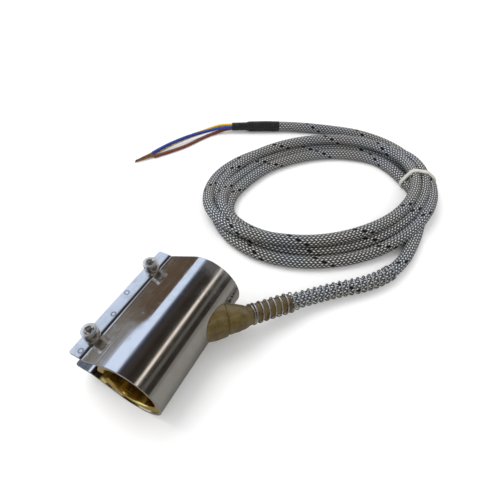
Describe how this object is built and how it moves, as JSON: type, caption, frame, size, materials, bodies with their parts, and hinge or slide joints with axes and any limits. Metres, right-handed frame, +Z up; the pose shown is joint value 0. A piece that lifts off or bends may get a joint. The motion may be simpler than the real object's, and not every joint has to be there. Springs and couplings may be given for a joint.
{
  "type": "band heater",
  "caption": "Nozzle band heater: folded C-shell with two clamp screws over a sealed brass casing, braided lead with strain-relief spring, coiled and tied",
  "frame": {"origin": "on the bore's axis at the middle of the band's length", "axes": "+Y along the bore, +X towards the side the lead leaves, +Z up; the band lies on its side with both clamp screws upright"},
  "size_m": [0.1945, 0.2366, 0.0315],
  "materials": {
    "shell_steel": "satin steel sheet, lightly scuffed",
    "brass": "heat-tinted golden brass",
    "mica": "pressed mica sheet",
    "ribbon": "nickel-chrome resistance ribbon",
    "screw_steel": "bright nickel-plated steel",
    "nickel": "nickel crimp tube",
    "varnished_sleeve": "varnished glass-fibre sleeving, olive brown",
    "core_fibre": "glass-fibre core insulation",
    "spring_steel": "bright spring steel wire",
    "steel_braid": "woven stainless steel braid",
    "nylon": "translucent natural nylon",
    "shrink_black": "black heat-shrink",
    "core_yellow": "yellow braided core with green fleck",
    "core_blue": "dark blue braided core",
    "core_brown": "dark red-brown braided core",
    "copper": "bare twisted copper strands"
  },
  "bodies": {
    "heater": {"clamp_shell": "shell_steel", "brass_bore_liner": "brass", "brass_jacket": "brass", "inner_mica": "mica", "winding_former": "mica", "heating_ribbon": "ribbon", "outer_mica": "mica", "exit_nipple": "brass", "insulating_sleeve": "varnished_sleeve", "line_core_stub": "core_fibre", "neutral_core_stub": "core_fibre", "earth_core_stub": "core_fibre", "line_crimp": "nickel", "neutral_crimp": "nickel", "strain_relief_spring": "spring_steel", "lead_run": "steel_braid", "lead_coil": "steel_braid", "cable_tie": "nylon", "lead_tail": "steel_braid", "heat_shrink": "shrink_black", "core_yellow": "core_yellow", "core_blue": "core_blue", "core_brown": "core_brown", "copper_tip": "copper"},
    "near_screw": {"near_clamp_screw": "screw_steel"},
    "near_nut": {"near_clamp_nut": "screw_steel"},
    "far_screw": {"far_clamp_screw": "screw_steel"},
    "far_nut": {"far_clamp_nut": "screw_steel"}
  },
  "joints": [
    {"name": "near_screw_turn", "type": "hinge", "parent": "heater", "child": "near_screw", "pos_m": [-0.02539, -0.0202, 0.0065], "axis": [0, 0, 1], "range_deg": [0, 1260]},
    {"name": "near_nut_travel", "type": "slide", "parent": "heater", "child": "near_nut", "axis": [0, 0, -1], "range_m": [0, 0.00245]},
    {"name": "far_screw_turn", "type": "hinge", "parent": "heater", "child": "far_screw", "pos_m": [-0.02539, 0.0202, 0.0065], "axis": [0, 0, 1], "range_deg": [0, 1260]},
    {"name": "far_nut_travel", "type": "slide", "parent": "heater", "child": "far_nut", "axis": [0, 0, -1], "range_m": [0, 0.00245]}
  ],
  "couplings": [
    {"joint": "near_screw_turn", "follows": "near_nut_travel", "rad_per_m": 8976},
    {"joint": "far_screw_turn", "follows": "far_nut_travel", "rad_per_m": 8976}
  ]
}
